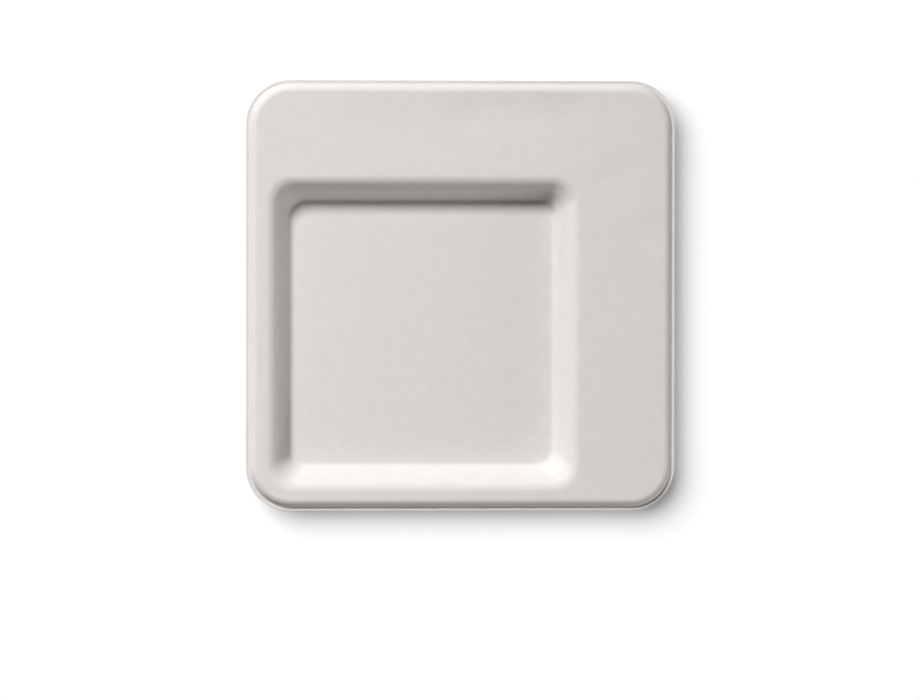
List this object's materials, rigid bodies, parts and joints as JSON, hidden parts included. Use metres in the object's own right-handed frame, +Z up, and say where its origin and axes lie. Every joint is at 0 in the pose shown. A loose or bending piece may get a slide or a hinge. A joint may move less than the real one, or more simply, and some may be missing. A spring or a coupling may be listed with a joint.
{
  "type": "pulp plate",
  "caption": "Square moulded-pulp plate with rounded corners, a shallow square well set towards one corner, a flat L-shaped serving rim and a sloping trimmed edge.",
  "frame": {"origin": "on the table, under the middle of the plate's square outline", "axes": "+Z up; +X and +Y along the sides, towards the two wide rims, so that the well lies towards -X and -Y"},
  "size_m": [0.26, 0.26, 0.019],
  "materials": {
    "pulp": "matt hot-pressed pulp, warm off-white, smooth on the food side and with a faint wire-mesh imprint underneath"
  },
  "bodies": {
    "root": {"plate": "pulp"}
  },
  "joints": []
}
